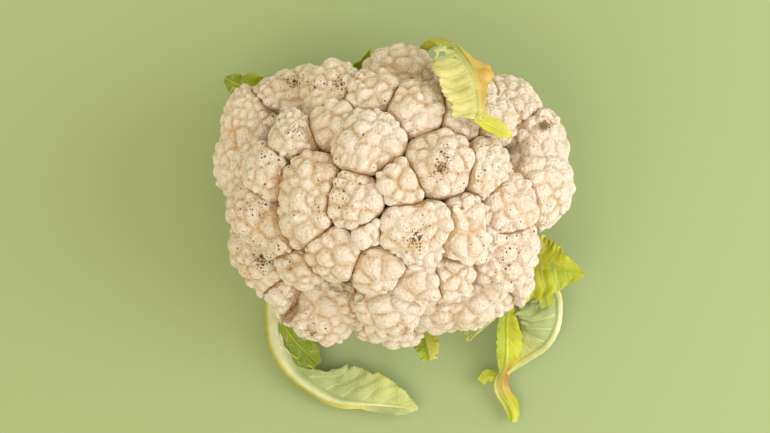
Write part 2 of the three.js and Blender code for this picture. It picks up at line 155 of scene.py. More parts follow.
LEAVES = {
    "leaf_front_left": [
        {
            "rows": [
                (-12, -20, 17, 4, 4, 3.6),
                (-34, -33, 16, 4, 4, 3.8),
                (-53, -44, 15, 4, 4, 3.9),
                (-61, -54, 13.5, 5, 3.9, 3.9),
                (-61.3, -64, 12, 5.5, 3.9, 3.9),
                (-60.3, -74, 11, 5, 4.1, 4.0),
                (-57, -81.5, 10, 4.8, 4.1, 4.0),
                (-51, -90, 9, 5, 4.1, 4.0),
                (-43, -97, 8, 11, 3.9, 3.7),
                (-35, -102, 7.5, 17, 3.6, 3.1),
                (-26.5, -105, 7, 21, 3.2, 2.2),
                (-16, -106, 7, 18, 3, 1.5),
                (-8, -106.5, 7, 17, 4, 1.0),
                (3, -107.5, 7.5, 10, 4.5, 0.8),
                (12, -108.5, 7, 0.8, 0.8, 0.4),
            ],
            "tints": (
                ["pale", "pale", "cream", "ivory", "mist", "mist", "mist", "pale", "pale"],
                ["cream", "cream", "cream", "cream", "cream", "cream", "cream", "ivory", "pale"],
                ["cream", "cream", "olive", "olive", "olive", "olive", "straw", "mist", "pale"],
            ),
            "thick": 6.5,
            "veins": 15,
            "vein_strength": 1.0,
            "frill": 1.0,
            "curl": 2,
            "slant": 1.9,
        },
        {
            "rows": [
                (-57.5, -58, 12.5, 2, 1.5, 0.5),
                (-54.5, -67, 12, 5, 3.5, 0.6),
                (-49, -75, 11, 7.5, 5, 0.7),
                (-43, -81, 10, 7, 5.5, 0.6),
                (-38, -86.5, 9, 2.5, 2.5, 0.4),
            ],
            "tints": (["fern", "fern", "fern"], ["grass", "grass", "fern"], ["grass", "fern", "fern"]),
            "thick": 1.2,
            "veins": 9,
            "vein_strength": 0.35,
            "frill": 0.8,
            "curl": 3,
        },
        {
            "rows": [
                (-56, -76, 9.5, 2, 1.5, 0.5),
                (-51, -81.5, 9.5, 3.5, 4, 0.8),
                (-46, -84.5, 9.5, 4, 5.5, 0.7),
                (-40, -88.5, 9, 2, 2, 0.5),
            ],
            "tints": (["grass", "fern"], ["pale", "lime"], ["fern", "fern"]),
            "thick": 1.4,
            "veins": 8,
            "vein_strength": 0.35,
            "frill": 0.9,
            "curl": -5,
        },
    ],
    "leaf_front_right": [
        {
            "rows": [
                (18, -17, 16, 4, 4, 3.5),
                (38, -29, 15, 4, 4, 3.5),
                (60, -38, 14.5, 3.5, 4, 3.2),
                (76, -44, 14, 3, 5, 2.7),
                (81.8, -51.5, 14, 1.9, 19, 1.8),
                (82.7, -58, 14, 1.8, 23, 1.7),
                (82.2, -65, 13, 1.8, 23, 1.7),
                (79.9, -71.5, 12, 1.9, 22, 1.8),
                (75.7, -77.3, 11, 2.0, 19, 1.9),
                (69.7, -81.5, 10, 2.0, 14, 1.9),
                (64, -85, 9, 2, 8, 1.6),
                (60, -88, 8.5, 1.3, 1.8, 1.1),
                (56.5, -91, 8, 0.8, 0.8, 0.6),
            ],
            "tints": (
                ["cream", "cream", "cream", "ivory", "cream", "pale", "straw"],
                ["cream", "cream", "pale", "ivory", "pale", "pale", "straw"],
                ["cream", "cream", "mist", "mist", "mist", "straw", "straw"],
            ),
            "thick": 5,
            "veins": 13,
            "vein_strength": 0.8,
            "frill": 1.0,
            "curl": 2,
        },
        {
            "rows": [
                (58, -56, 17, 2, 2, 0.5),
                (56.5, -65, 17, 6, 4.5, 0.6),
                (56.5, -73, 16, 7.5, 6, 0.7),
                (56.5, -80, 14.5, 7.5, 6, 1.0),
                (56, -86, 12, 5.5, 5, 1.5),
                (54.2, -91.5, 8, 4.6, 3.4, 1.8),
                (53.2, -96.5, 7, 3.8, 3.3, 1.8),
                (54.8, -101, 6.5, 4.1, 3.7, 1.8),
                (57.8, -105.7, 6, 4.5, 4, 1.9),
                (59.8, -110.7, 5.5, 3.4, 3.6, 1.9),
                (59.5, -115, 5, 2.4, 2.2, 1.4),
            ],
            "tints": (
                ["lime", "lime", "lime", "rust", "orange", "lime", "pale"],
                ["lime", "lime", "straw", "rust", "olive", "lime", "lime"],
                ["grass", "grass", "grass", "olive", "straw", "grass", "grass"],
            ),
            "thick": 3.2,
            "veins": 7,
            "vein_strength": 0.2,
            "frill": 1.1,
            "curl": 12,
        },
        {
            "rows": [
                (51, -93, 6.5, 2, 2, 0.5),
                (47, -92, 6.5, 3, 3.5, 0.6),
                (43.5, -95, 6, 2.5, 3, 0.4),
            ],
            "tints": (["lime", "grass"], ["lime", "lime"], ["lime", "grass"]),
            "thick": 1,
            "veins": 5,
            "vein_strength": 0.2,
            "frill": 1.2,
            "curl": 6,
        },
    ],
    "leaf_right": [
        {
            "rows": [
                (20, -9, 24, 4, 4, 3.2),
                (44, -20, 23, 4, 5, 3.0),
                (60, -28, 26, 8, 14, 2.0),
                (68, -32, 28, 12, 23, 1.6),
                (75, -35, 30, 12, 22, 1.3),
                (81, -37, 31.5, 9, 17, 1.0),
                (88, -39, 33, 5, 9, 0.8),
                (95, -41, 35, 1, 1.5, 0.5),
            ],
            "tints": (
                ["pale", "pale", "straw", "lime", "lime", "grass"],
                ["cream", "cream", "straw", "lime", "grass", "grass"],
                ["pale", "lime", "olive", "lime", "grass", "lime"],
            ),
            "thick": 4.5,
            "veins": 13,
            "vein_strength": 0.8,
            "frill": 1.5,
            "curl": 2,
            "holes": [(0.66, 0.0, 1.6), (0.68, 0.12, 1.3)],
        },
        {
            "rows": [
                (70, -38, 29, 3, 3, 1.2),
                (74.5, -48, 27, 4.5, 4.5, 1.2),
                (77, -57, 24, 3.5, 4, 0.8),
            ],
            "tints": (["lime", "grass"], ["olive", "olive"], ["grass", "olive"]),
            "thick": 2,
            "veins": 9,
            "vein_strength": 0.35,
            "frill": 0.8,
            "curl": 3,
        },
    ],
    "leaf_back": [
        {
            "rows": [
                (6, 21, 17, 3, 3, 2.8),
                (11, 45, 21, 3, 3, 2.6),
                (13.7, 68, 42, 2.5, 2.5, 2.4),
                (20, 75.5, 64, 2.5, 2.8, 2.4),
                (29.4, 73.1, 79, 3, 9, 2.2),
                (35.1, 67.4, 89, 4, 16, 1.9),
                (39.4, 60.3, 97, 9.5, 20, 1.6),
                (41.9, 52.4, 104, 5, 18, 1.3),
                (43, 43.9, 109, 2.5, 15.5, 1.1),
                (43, 36, 112.5, 4, 12.5, 0.9),
            ],
            "tints": (
                ["cream", "olive", "straw", "orange", "orange", "straw"],
                ["cream", "olive", "olive", "olive", "straw", "cream"],
                ["cream", "olive", "lime", "pale", "butter", "butter", "butter"],
            ),
            "thick": 4,
            "veins": 13,
            "vein_strength": 0.8,
            "frill": 0.9,
            "curl": -3,
            "holes": [(0.47, 0.45, 2.6), (0.52, 0.75, 2.0), (0.56, 0.35, 1.5)],
        },
        {
            "rows": [
                (41, 37.5, 112.5, 2.5, 2, 0.6),
                (48, 33.5, 110.5, 4, 3.5, 0.7),
                (54, 30.5, 107, 4, 3, 0.6),
                (58.5, 28.5, 104, 1.5, 1.5, 0.4),
            ],
            "tints": (["lime", "straw"], ["straw", "straw"], ["lime", "lime"]),
            "thick": 1.2,
            "veins": 8,
            "vein_strength": 0.35,
            "frill": 0.9,
            "curl": -3,
        },
    ],
    "leaf_back_left": [
        {
            "rows": [
                (-17, 15, 24, 4, 4, 3.0),
                (-37, 28, 21, 4, 4, 2.8),
                (-56, 41, 24, 8, 8, 2.2),
                (-70, 49, 32, 11, 10, 1.4),
                (-80, 54.5, 39, 6, 5, 0.9),
                (-84.5, 57, 41, 1.5, 1.5, 0.5),
            ],
            "tints": (["pale", "grass", "fern"], ["cream", "pale", "grass"], ["pale", "grass", "fern"]),
            "thick": 4,
            "veins": 13,
            "vein_strength": 0.8,
            "frill": 1.4,
            "curl": 3,
        }
    ],
    "leaf_back_small": [
        {
            "rows": [
                (-5, 22, 24, 3, 3, 2.4),
                (-10, 41, 25, 3, 3, 2.2),
                (-14, 57, 36, 5, 4, 1.8),
                (-15.5, 65, 46, 6, 5, 1.2),
                (-12, 71.5, 54, 1.5, 1.5, 0.5),
            ],
            "tints": (["pale", "grass", "olive"], ["cream", "pale", "straw"], ["pale", "grass", "grass"]),
            "thick": 3.5,
            "veins": 9,
            "vein_strength": 0.35,
            "frill": 1.2,
            "curl": 3,
        }
    ],
    "leaf_front": [
        {
            "rows": [
                (4, -22, 17, 3, 3, 2.8),
                (8, -43, 17, 4, 4, 2.4),
                (12, -62, 20, 6, 6, 1.8),
                (16, -75, 24, 7, 7, 1.2),
                (18, -84, 27, 4, 4, 0.7),
            ],
            "tints": (["pale", "grass", "straw"], ["cream", "fern", "grass"], ["pale", "fern", "grass"]),
            "thick": 4,
            "veins": 9,
            "vein_strength": 0.35,
            "frill": 1.2,
            "curl": 6,
            "holes": [(0.93, -0.9, 1.6)],
        }
    ],
    "leaf_front_under": [
        {
            "rows": [
                (14, -18, 25, 4, 4, 3.0),
                (26, -35, 22, 5, 6, 2.4),
                (40, -53, 27, 11, 16, 1.5),
                (50, -64, 32, 14, 17, 0.9),
            ],
            "tints": (["pale", "butter", "butter"], ["cream", "pale", "butter"], ["pale", "butter", "pale"]),
            "thick": 4,
            "veins": 13,
            "vein_strength": 0.8,
            "frill": 0.8,
            "curl": 3,
        }
    ],
}

scene = bpy.context.scene


# ---- Mesh tools ----


def points_of(mesh):
    flat = np.empty(len(mesh.vertices) * 3, np.float32)
    mesh.vertices.foreach_get("co", flat)
    return flat.reshape(-1, 3).astype(np.float64)


def move_points(mesh, points):
    mesh.vertices.foreach_set("co", points.astype(np.float32).ravel())
    mesh.update()


def normals_of(mesh):
    flat = np.empty(len(mesh.vertices) * 3, np.float32)
    mesh.vertex_normals.foreach_get("vector", flat)
    return flat.reshape(-1, 3).astype(np.float64)


def edges_of(mesh):
    flat = np.empty(len(mesh.edges) * 2, np.int32)
    mesh.edges.foreach_get("vertices", flat)
    return flat.reshape(-1, 2)


def blurred(values, edges, rounds, share=0.5):
    """Values at the vertices, each moved towards the mean of its neighbours, a few times over."""
    one, two = edges[:, 0], edges[:, 1]
    count = len(values)
    degree = np.bincount(one, minlength=count) + np.bincount(two, minlength=count)
    degree = np.maximum(degree, 1)
    out = values.reshape(count, -1).copy()
    for _ in range(rounds):
        for k in range(out.shape[1]):
            column = out[:, k]
            total = np.bincount(one, column[two], count) + np.bincount(two, column[one], count)
            out[:, k] = column + share * (total / degree - column)
    return out.reshape(values.shape)


def unit(vectors):
    return vectors / np.maximum(np.linalg.norm(vectors, axis=-1, keepdims=True), 1e-12)


def smoothstep(low, high, x):
    t = np.clip((x - low) / (high - low), 0, 1)
    return t * t * (3 - 2 * t)


def waves(points, wavelength, seed, count=7):
    """Smooth noise from -1 to 1: a sum of plane waves in random directions."""
    dice = np.random.default_rng(seed)
    total = np.zeros(len(points))
    for _ in range(count):
        direction = dice.normal(size=3)
        direction /= np.linalg.norm(direction)
        turns = 2 * math.pi / (wavelength * dice.uniform(0.7, 1.4))
        total += np.sin(points @ direction * turns + dice.uniform(0, 2 * math.pi))
    return total / math.sqrt(count * 2)


def paint(mesh, name, values):
    layer = mesh.attributes.new(name, "FLOAT", "POINT")
    layer.data.foreach_set("value", values.astype(np.float32))


def evened(mesh, voxel):
    """A closed mesh made over again from small even faces."""
    rough = bpy.data.objects.new("rough", mesh)
    scene.collection.objects.link(rough)
    remesh = rough.modifiers.new("even", "REMESH")
    remesh.mode = "VOXEL"
    remesh.voxel_size = voxel
    remesh.use_smooth_shade = True
    made = bpy.data.meshes.new_from_object(rough.evaluated_get(bpy.context.evaluated_depsgraph_get()))
    bpy.data.objects.remove(rough)
    return made


def add_piece(name, mesh, slot, material, *nodes):
    piece = bpy.data.objects.new(name, mesh)
    scene.collection.objects.link(piece)
    mesh.materials.clear()
    mesh.materials.append(material)
    mesh.shade_smooth()
    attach(piece, "root")
    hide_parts(*nodes)
    return piece


# ---- The curd ----


def nearest_two(points, centres, sizes):
    """For each point the nearest two centres, with each distance counted in that centre's size."""
    middle = centres.mean(0)
    centres = (centres - middle).astype(np.float32)
    spans = (centres**2).sum(1)[None]
    scale = (1 / sizes**2).astype(np.float32)[None]
    first = np.empty(len(points), np.int32)
    second = np.empty(len(points), np.int32)
    near = np.empty(len(points))
    next_near = np.empty(len(points))
    step = max(1, 3_000_000 // len(centres))
    for start in range(0, len(points), step):
        part = slice(start, start + step)
        places = (points[part] - middle).astype(np.float32)
        squares = (places**2).sum(1)[:, None] + spans - 2 * places @ centres.T
        squares = squares.clip(0) * scale
        rows = np.arange(len(places))
        first[part] = squares.argmin(1)
        near[part] = squares[rows, first[part]]
        squares[rows, first[part]] = 1e9
        second[part] = squares.argmin(1)
        next_near[part] = squares[rows, second[part]]
    return first, second, np.sqrt(near), np.sqrt(next_near)


def crowd(spots, spot_area, spacing, dice):
    """Centres spread over a surface about so far apart, given many random points on it and the
    area that each stands for, and a size for each centre."""
    count = max(3, int(len(spots) * spot_area / (0.87 * spacing**2)))
    sample = spots[dice.permutation(len(spots))[: 40 * count]]
    centres = sample[:count].copy()
    sizes = 0.7 + 0.95 * dice.random(count) ** 1.6
    for _ in range(4):
        own, _, _, _ = nearest_two(sample, centres, sizes)
        amount = np.maximum(np.bincount(own, minlength=count), 1)
        for k in range(3):
            mean = np.bincount(own, sample[:, k], count) / amount
            centres[:, k] = np.where(amount > 2, mean, centres[:, k])
    return centres, sizes


def mounds(points, spot_area, active, spacing, relief, unevenness, dice):
    """How far each point stands out on a surface crowded with round mounds, where the mean top is
    at height 0, and its share of the way from a mound's top to the crease round it."""
    heights = np.zeros(len(points))
    shares = np.zeros(len(points))
    centres, sizes = crowd(points[active > 0.35], spot_area, spacing, dice)
    tops = dice.normal(size=len(sizes)) * unevenness
    chosen = active > 0.01
    first, second, near, next_near = nearest_two(points[chosen], centres, sizes)
    ratio = near / np.maximum(next_near, 1e-9)
    share = 2 * ratio / (1 + ratio)
    size = sizes[first] * (1 - ratio / 2) + sizes[second] * ratio / 2
    top = tops[first] * (1 - ratio / 2) + tops[second] * ratio / 2
    rim = 1 - math.sqrt(1 - MOUND_FULLNESS**2)
    ball = (np.sqrt(1 - (MOUND_FULLNESS * share) ** 2) - 1) / rim
    heights[chosen] = relief * size * ball + top
    shares[chosen] = share
    return heights, shares


def seen_from_above(points):
    """Where each point appears, in millimetres on the view plane."""
    share = (EYE[2] - VIEW_PLANE_Z) / (EYE[2] - points[:, 2])
    return (EYE[:2] + (points[:, :2] - EYE[:2]) * share[:, None]) / MM


def patches(points, normals, table, column):
    places = seen_from_above(points)
    total = np.zeros(len(points))
    for row in table:
        away = ((places - np.array(row[:2])) ** 2).sum(1) / row[2] ** 2
        total = np.maximum(total, row[column] * np.exp(-away))
    return total * smoothstep(-0.1, 0.3, normals[:, 2])


def neighbours_tree(own_name):
    points = []
    faces = []
    for name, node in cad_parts.items():
        if name == own_name or name.startswith("leaf"):
            continue
        base = len(points)
        points.extend(v.co.copy() for v in node.data.vertices)
        faces.extend([base + i for i in face.vertices] for face in node.data.polygons)
    return BVHTree.FromPolygons(points, faces)


def floret(name, seed, material):
    dice = np.random.default_rng(seed)
    mesh = evened(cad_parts[name].data.copy(), VOXEL)
    edges = edges_of(mesh)
    points = blurred(points_of(mesh), edges, ROUNDING)
    move_points(mesh, points)
    normals = unit(blurred(normals_of(mesh), edges, 4))
    rays = points - HUB
    distance = np.linalg.norm(rays, axis=1)
    outward = (normals * rays).sum(1) / distance

    tree = neighbours_tree(name)
    gap = np.full(len(points), CLEFT_REACH)
    for i in range(len(points)):
        nearest = tree.find_nearest(points[i], CLEFT_REACH)[3]
        if nearest is not None:
            gap[i] = nearest
    touching = blurred((gap < CONTACT_DISTANCE).astype(float), edges, 3)
    open_air = 1 - smoothstep(0.25, 0.75, touching)
    reach = np.percentile(distance, 97)
    under = smoothstep(-0.45, -0.05, outward) * smoothstep(0.45, 0.62, distance / reach)
    # Lobes go on some way down into the clefts between florets.
    curd = smoothstep(0.02, 0.4, blurred(open_air, edges, CLEFT_ROUNDS)) * under

    # Clefts fill up, and the whole floret is uneven, so that no dome is a true ball.
    fill = blurred(CLEFT_FILL * smoothstep(CLEFT_REACH, 0.2 * MM, gap) * under, edges, 6)
    fill = fill * smoothstep(-0.1, 0.25, blurred(outward, edges, 6))
    points += rays / distance[:, None] * fill[:, None]
    points += normals * (waves(points, 26 * MM, seed) * 0.8 * MM * curd)[:, None]

    size = dice.uniform(0.85, 1.15)
    spot_area = sum(face.area for face in mesh.polygons) / len(points)
    lobe, lobe_share = mounds(
        points, spot_area, curd, LOBE_SPACING * size, LOBE_RELIEF * size, LOBE_UNEVENNESS, dice
    )
    lobe += LOBE_RELIEF * CLEFT_SWELLING * touching
    moved = points + normals * (lobe * curd + FILLING * touching * (1 - curd))[:, None]
    moved = blurred(moved, edges, 2)
    move_points(mesh, moved)
    fine_normals = normals_of(mesh)

    bump, _ = mounds(moved, spot_area, curd, BUMP_SPACING, BUMP_RELIEF, 0.03 * MM, dice)
    moved = moved + fine_normals * (bump * curd)[:, None]
    move_points(mesh, moved)

    # How sunken each place is against its surroundings, at the scale of the lobes. The curd's colour uses it
    # to paint shade into hollows and a highlight onto tops.
    hollow = ((blurred(moved, edges, 24) - moved) * fine_normals).sum(1)
    paint(mesh, "crease", np.clip(hollow / (0.7 * MM), -1, 1))
    # Seam marks where lobes meet; the curd's colour paints warm shade along it.
    paint(mesh, "seam", smoothstep(0.72, 1.0, lobe_share) * curd)
    paint(mesh, "curd", curd)
    # Where florets touch; the curd's colour paints shade there.
    paint(mesh, "hidden", smoothstep(0.55, 1.0, touching))
    paint(mesh, "stalk", smoothstep(0.75, 0.45, distance / reach))
    paint(mesh, "brown", patches(moved, normals, BLEMISHES, 3) * curd)
    paint(mesh, "specks", patches(moved, normals, BLEMISHES, 4) * curd)
    paint(mesh, "ochre", patches(moved, normals, OCHRE_STAINS, 3) * curd)
    add_piece(name + "_grown", mesh, "curd", material, name)


# ---- The leaves ----


def from_above(x, y, z):
    """The true place, in metres, of what appears at x, y on the view plane and lies at height z."""
    share = (EYE[2] - z * MM) / (EYE[2] - VIEW_PLANE_Z)
    seen = np.stack([x * MM, y * MM], 1)
    flat = EYE[:2] + (seen - EYE[:2]) * np.asarray(share)[:, None]
    return np.column_stack([flat, z * MM])


def along(values, places):
    """A smooth curve through evenly spaced rows of values, read at places from 0 to 1."""
    values = np.asarray(values, float)
    last = len(values) - 1
    position = np.clip(places * last, 0, last - 1e-9)
    i = position.astype(int)
    t = (position - i)[:, None]
    before = values[np.maximum(i - 1, 0)]
    start = values[i]
    end = values[i + 1]
    after = values[np.minimum(i + 2, last)]
    slope_in = (end - before) / 2
    slope_out = (after - start) / 2
    bend = 3 * (end - start) - 2 * slope_in - slope_out
    twist = slope_in + slope_out - 2 * (end - start)
    return start + t * slope_in + t**2 * bend + t**3 * twist


def ripple(distance, wavelength, dice):
    """Smooth noise along a line, from about -1 to 1."""
    total = 0
    for _ in range(5):
        turns = 2 * math.pi / (wavelength * dice.uniform(0.45, 3.5))
        total = total + np.sin(distance * turns + dice.uniform(0, 2 * math.pi))
    return total / 2.5


def curd_tree():
    points = []
    faces = []
    for name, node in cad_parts.items():
        if name.startswith("floret"):
            base = len(points)
            points.extend(v.co.copy() for v in node.data.vertices)
            faces.extend([base + i for i in face.vertices] for face in node.data.polygons)
    return BVHTree.FromPolygons(points, faces)


def laid_on_curd(grid, tree, clearance):
    """The grid's points, moved out from the hub where they would lie within the curd."""
    flat = grid.reshape(-1, 3)
    rays = flat - HUB
    distance = np.linalg.norm(rays, axis=1)
    directions = rays / distance[:, None]
    out = flat.copy()
    for i in range(len(flat)):
        far = Vector(HUB + directions[i] * 0.25)
        place = tree.ray_cast(far, Vector(-directions[i]), 0.25)[0]
        if place is None:
            continue
        needed = (place - Vector(HUB)).length + clearance
        if distance[i] < needed:
            out[i] = HUB + directions[i] * needed
    return out.reshape(grid.shape)


def sheet(spec, seed, tree):
    """One blade with its rib: a closed thin shell, with its colours painted on."""
    spec = {**PLAIN_SHEET, **spec}
    dice = np.random.default_rng(seed)
    rows = np.array(spec["rows"], float)
    places = from_above(rows[:, 0], rows[:, 1], rows[:, 2])
    length = np.linalg.norm(np.diff(places, axis=0), axis=1).sum()
    count = max(12, int(length / SHEET_STEP))
    s = np.linspace(0, 1, count)
    centre = along(places, s)
    left, right, rib = (along(rows[:, k : k + 1], s)[:, 0] * MM for k in (3, 4, 5))
    walked = s * length
    left = left * (1 + 0.06 * ripple(walked, 9 * MM, dice) + 0.03 * ripple(walked, 3 * MM, dice))
    right = right * (1 + 0.06 * ripple(walked, 9 * MM, dice) + 0.03 * ripple(walked, 3 * MM, dice))
    left = np.maximum(left, rib)
    right = np.maximum(right, rib)
    ahead = unit(np.gradient(centre, axis=0))
    up_guess = np.array([0, 0, 1.0]) + 0 * ahead
    # Where the rib climbs steeply, the blade faces away from the curd's middle.
    steep = np.abs(ahead[:, 2:3])
    up_guess = unit(up_guess * (1 - steep) + unit(centre - HUB) * steep)
    side = unit(np.cross(ahead, up_guess))
    up = np.cross(side, ahead)

    across = np.linspace(-1, 1, SHEET_COLUMNS)
    shape = 0.45 * np.abs(across) + 0.55 * np.abs(across) ** 1.7
    reach = np.where(across < 0, -left[:, None] * shape, right[:, None] * shape)
    bend = math.radians(spec["curl"]) / 0.010 + 1e-6
    grid = (
        centre[:, None]
        + side[:, None] * (np.sin(reach * bend) / bend)[..., None]
        + up[:, None] * ((1 - np.cos(reach * bend)) / bend)[..., None]
    )
    width = np.where(across < 0, left[:, None], right[:, None])
    from_rib = np.maximum(np.abs(reach) - rib[:, None], 0)
    blade = smoothstep(0, 5 * MM, from_rib)
    margin = smoothstep(0.55, 1.0, np.abs(reach) / width) * smoothstep(3 * MM, 10 * MM, width)
    crumple = waves(grid.reshape(-1, 3), 15 * MM, seed).reshape(reach.shape) * 1.5 * MM
    frill = np.stack([ripple(walked, 8 * MM, dice), ripple(walked, 8 * MM, dice)])
    frill = np.where(across < 0, frill[0][:, None], frill[1][:, None]) * spec["frill"] * MM
    grid = grid + up[:, None] * (crumple * blade + frill * margin)[..., None]

    # Side veins leave the rib slantwise and fade towards the margin.
    spacing = spec["veins"] * MM
    slanted = walked[:, None] - np.abs(reach) * spec["slant"] - np.where(across < 0, 0, spacing * 0.45)
    slanted = slanted + 1.6 * MM * ripple(np.abs(reach), 18 * MM, dice)
    offset = (slanted / spacing + 0.5) % 1 - 0.5
    fade = 1 - 0.6 * np.abs(reach) / width
    vein = np.exp(-((offset * spacing / (VEIN_WIDTH * fade)) ** 2)) * smoothstep(0, 1.5 * MM, from_rib)
    vein = vein * smoothstep(1.02, 0.85, np.abs(reach) / width) * smoothstep(2 * MM, 5 * MM, width)

    grid = laid_on_curd(grid, tree, CURD_CLEARANCE)
    normals = unit(np.cross(np.gradient(grid, axis=0), np.gradient(grid, axis=1)))
    if (normals * up[:, None]).sum() < 0:
        normals = -normals
    inside = np.clip(reach / rib[:, None], -1, 1)
    dome = np.sqrt(1 - inside**2)
    taper = along(np.array(rows[:, 5:6]), s) / rows[:, 5].max()
    thick = spec["thick"] * MM * taper
    # The blade puffs up between its side veins.
    quilt = (1 - np.cos(2 * math.pi * offset)) / 2 * blade * QUILTING
    top = HALF_BLADE + 0.3 * thick * dome + VEIN_RELIEF * vein + quilt
    bottom = HALF_BLADE + 0.7 * thick * dome + VEIN_RELIEF / 2 * vein - quilt
    upper = grid + normals * top[..., None]
    lower = grid - normals * bottom[..., None]

    rows_count, columns = reach.shape
    kept = np.ones((rows_count - 1, columns - 1), bool)
    middle_s = (s[:-1] + s[1:]) / 2
    for hole_s, hole_t, hole_reach in spec["holes"]:
        ragged = hole_reach * MM * (1 + 0.35 * ripple(np.arange(columns - 1) * 0.4 * MM, 3 * MM, dice))
        gone_s = (middle_s[:, None] - hole_s) * length
        gone_t = (reach[:-1, :-1] + reach[1:, 1:]) / 2 - hole_t * width[:-1, :-1]
        kept &= gone_s**2 + gone_t**2 > ragged[None] ** 2

    left_tint, middle_tint, right_tint = (
        along([TINTS[name] for name in names], s) for names in spec["tints"]
    )
    outer = np.where((across < 0)[None, :, None], left_tint[:, None], right_tint[:, None])
    on_rib = smoothstep(0.75, 0.0, np.abs(reach) / rib[:, None])[..., None]
    tint = outer * (1 - on_rib) + middle_tint[:, None] * on_rib
    tint = tint.clip(0, 1)
    return {
        "points": np.concatenate([upper.reshape(-1, 3), lower.reshape(-1, 3)]),
        "faces": shell_faces(kept, rows_count, columns),
        "tint": np.concatenate([tint.reshape(-1, 3)] * 2),
        "vein": np.concatenate([vein.ravel() * spec["vein_strength"]] * 2),
        "rib": np.concatenate([on_rib.ravel()] * 2),
        "margin": np.concatenate([(np.abs(reach) / width).ravel()] * 2),
    }


def shell_faces(kept, rows_count, columns):
    """Faces of a closed shell between an upper and a lower grid, with walls round every hole."""
    under = rows_count * columns
    padded = np.pad(kept, 1)
    i, k = np.nonzero(kept)
    a = i * columns + k
    b = a + 1
    c = a + columns + 1
    d = a + columns
    faces = [np.stack([a, d, c, b], 1), np.stack([a, b, c, d], 1) + under]
    for start, end, di, dk in ((a, b, -1, 0), (b, c, 0, 1), (c, d, 1, 0), (d, a, 0, -1)):
        bare = ~padded[i + 1 + di, k + 1 + dk]
        faces.append(np.stack([start, end, end + under, start + under], 1)[bare])
    return np.concatenate(faces)


def leaf(name, specs, seed, tree, material):
    parts = [sheet(spec, seed + 7 * k, tree) for k, spec in enumerate(specs)]
    faces = []
    base = 0
    for part in parts:
        faces.append(part["faces"] + base)
        base += len(part["points"])
    faces = np.concatenate(faces)
    joined = {key: np.concatenate([part[key] for part in parts]) for key in parts[0] if key != "faces"}
    used = np.unique(faces)
    renumbered = np.full(base, -1)
    renumbered[used] = np.arange(len(used))
    mesh = bpy.data.meshes.new(name)
    mesh.from_pydata(joined["points"][used].tolist(), [], renumbered[faces].tolist())
    mesh.update()
    layer = mesh.attributes.new("tint", "FLOAT_COLOR", "POINT")
    colours = np.column_stack([joined["tint"][used], np.ones(len(used))])
    layer.data.foreach_set("color", colours.astype(np.float32).ravel())
    for key in ("vein", "rib", "margin"):
        paint(mesh, key, joined[key][used])
    add_piece(name + "_grown", mesh, "leaf", material, name)


# ---- The stem and the leaf bases ----


def trunk(name, slot, seed, material):
    """The stem or a leaf base: rounded at its cut edges, and a little uneven and ribbed."""
    mesh = evened(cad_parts[name].data.copy(), VOXEL)
    edges = edges_of(mesh)
    points = points_of(mesh)
    flat_foot = points[:, 2] < 0.1 * MM
    points = blurred(points, edges, 5)
    move_points(mesh, points)
    normals = normals_of(mesh)
    sides = 1 - np.abs(normals[:, 2]) ** 2
    turn = np.arctan2(points[:, 1], points[:, 0])
    ribs = np.sin(turn * STEM_RIBS + 2 * waves(points, 30 * MM, seed)) * 0.15 * MM
    uneven = waves(points, 14 * MM, seed) * 0.45 * MM + waves(points, 4 * MM, seed + 3) * 0.12 * MM
    points += normals * ((uneven + ribs) * sides)[:, None]
    points[:, 2] = np.maximum(points[:, 2], 0)
    move_points(mesh, points)
    paint(mesh, "cut", blurred(flat_foot.astype(float), edges, 2))
    paint(mesh, "outer", np.hypot(points[:, 0], points[:, 1]) / STEM_RADIUS)
    add_piece(name + "_grown", mesh, slot, material, name)


# ---- Materials ----


